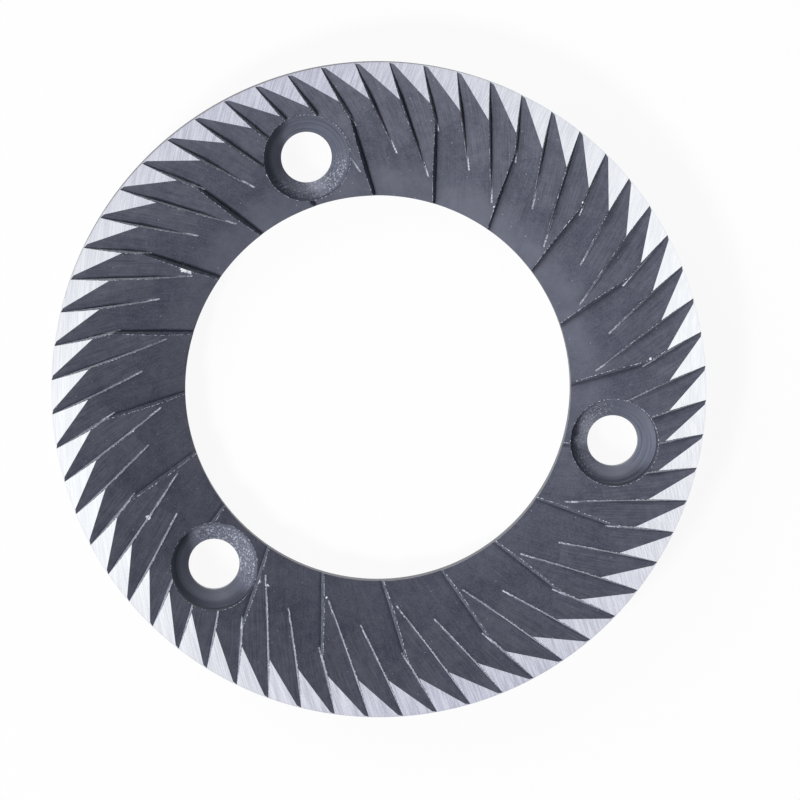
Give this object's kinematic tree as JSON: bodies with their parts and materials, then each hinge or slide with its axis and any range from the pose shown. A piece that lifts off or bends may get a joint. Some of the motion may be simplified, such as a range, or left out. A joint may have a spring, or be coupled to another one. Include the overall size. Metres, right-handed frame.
{
  "type": "coffee grinder burr",
  "caption": "Flat ring burr for a coffee grinder, with saw teeth at the rim, breaker channels around the bore and countersunk screw holes.",
  "frame": {"origin": "centre of the ring on its flat back face", "axes": "+Z along the ring's axis from the back face to the teeth, +Y through the first screw hole"},
  "size_m": [0.064, 0.064, 0.009],
  "materials": {
    "burr_steel": "dark oxide hardened steel with bright ground lands"
  },
  "bodies": {
    "root": {"burr": "burr_steel"}
  },
  "joints": []
}
